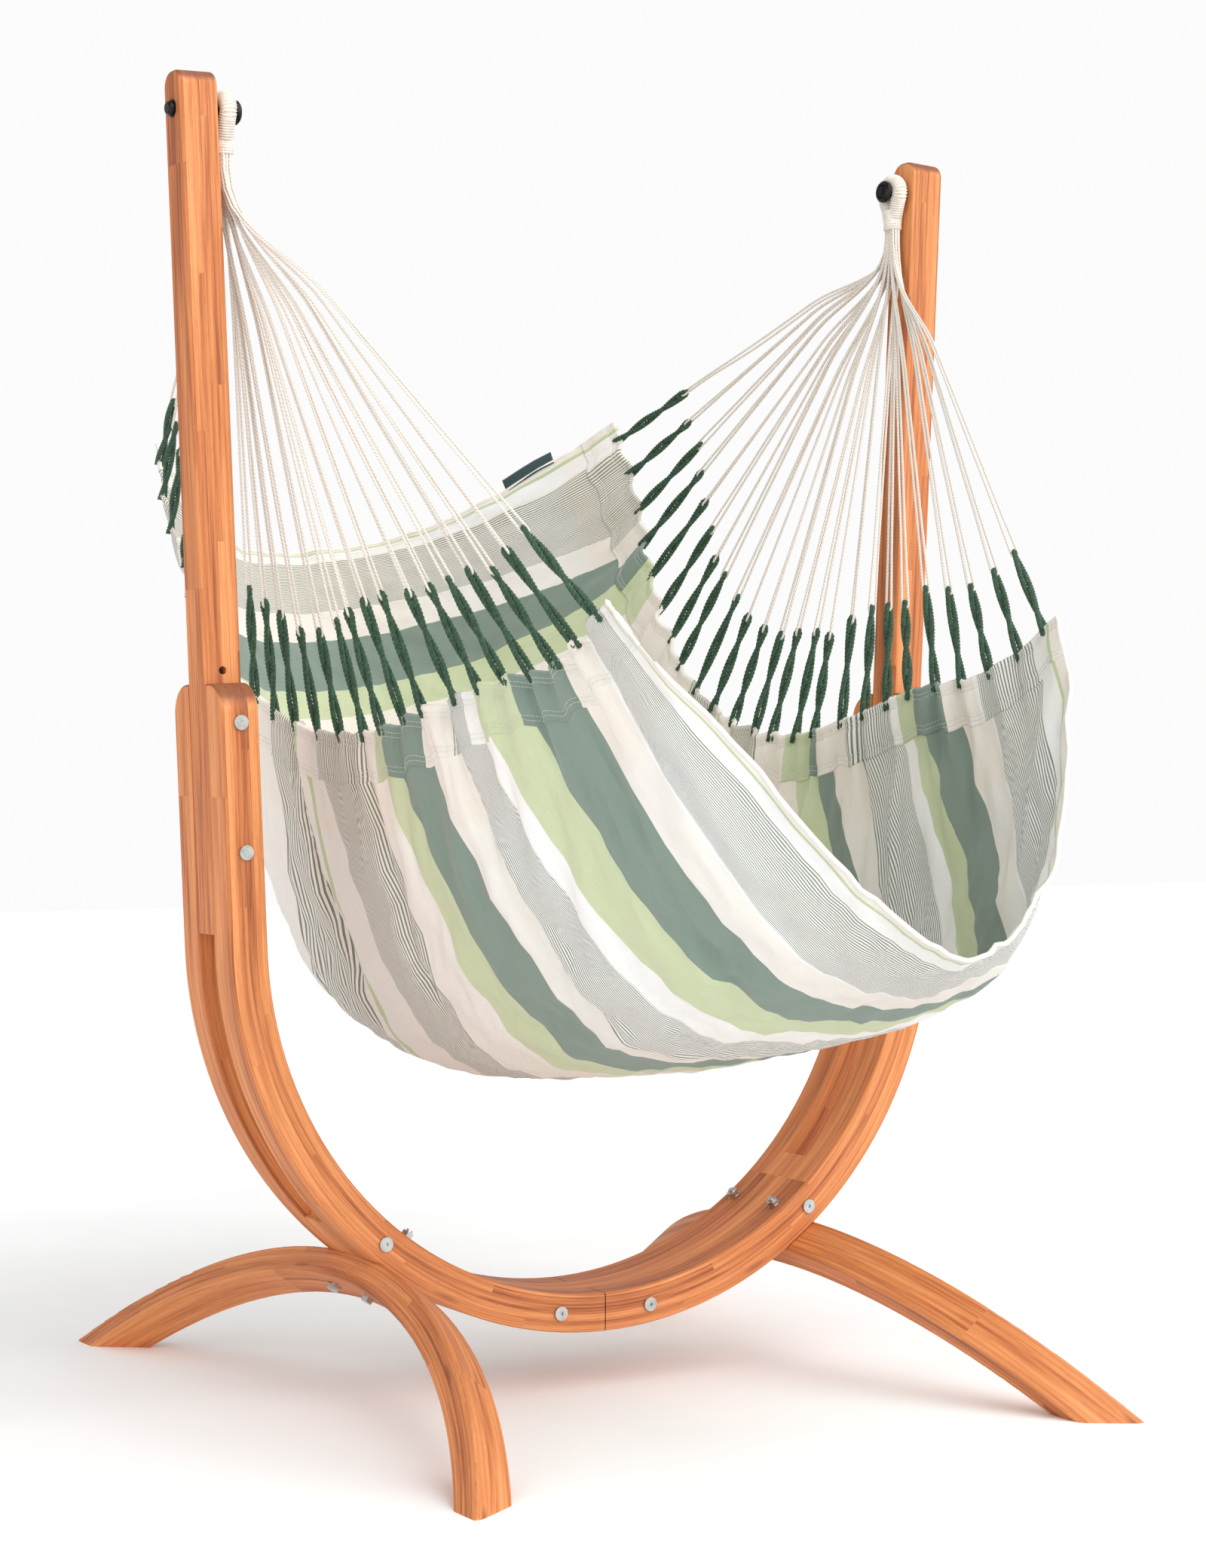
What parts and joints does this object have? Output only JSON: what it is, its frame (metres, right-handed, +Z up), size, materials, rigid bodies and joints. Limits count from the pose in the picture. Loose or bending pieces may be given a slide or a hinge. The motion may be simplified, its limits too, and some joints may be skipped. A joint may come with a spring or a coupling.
{
  "type": "hammock on stand",
  "caption": "Fabric hammock with corded ends hung between the splayed posts of a laminated wooden stand on arched feet; the hammock swings front to back.",
  "frame": {"origin": "on the floor, midway between the posts and midway from front to back of the whole object", "axes": "+X from the left post to the right post seen from the front, +Y from the front to the back, +Z up"},
  "size_m": [1.4028, 2.0097, 1.9883],
  "materials": {
    "eucalyptus": "oiled satin, laminated, visible glue lines",
    "bright_steel": "satin stainless",
    "black_steel": "semi-gloss black",
    "cream_cord": "twisted cotton cord",
    "green_rope": "twisted rope",
    "striped_cloth": "woven, cream with sage, light green and fine dark pinstripes",
    "label_fabric": "woven tape"
  },
  "bodies": {
    "stand": {"left_post": "eucalyptus", "left_front_beam": "eucalyptus", "left_back_beam": "eucalyptus", "left_foot": "eucalyptus", "right_post": "eucalyptus", "right_front_beam": "eucalyptus", "right_back_beam": "eucalyptus", "right_foot": "eucalyptus", "centre_bow": "eucalyptus", "left_post_bolts": "bright_steel", "left_post_nuts": "bright_steel", "left_foot_bolts": "bright_steel", "left_foot_nuts": "bright_steel", "left_foot_washers": "bright_steel", "right_post_bolts": "bright_steel", "right_post_nuts": "bright_steel", "right_foot_bolts": "bright_steel", "right_foot_nuts": "bright_steel", "right_foot_washers": "bright_steel", "bow_bolts": "bright_steel", "bow_nuts": "bright_steel", "left_pin": "black_steel", "left_pin_washer": "black_steel", "left_pin_disc": "black_steel", "right_pin": "black_steel", "right_pin_washer": "black_steel", "right_pin_disc": "black_steel"},
    "hammock": {"left_eye": "cream_cord", "left_cords": "cream_cord", "left_hem_loops": "green_rope", "right_eye": "cream_cord", "right_cords": "cream_cord", "right_hem_loops": "green_rope", "hammock_cloth": "striped_cloth", "side_label": "label_fabric"}
  },
  "joints": [
    {"name": "hammock_swing", "type": "hinge", "parent": "stand", "child": "hammock", "pos_m": [0, 0, 1.93451], "axis": [1, 0, 0], "range_deg": [-30, 30]}
  ]
}
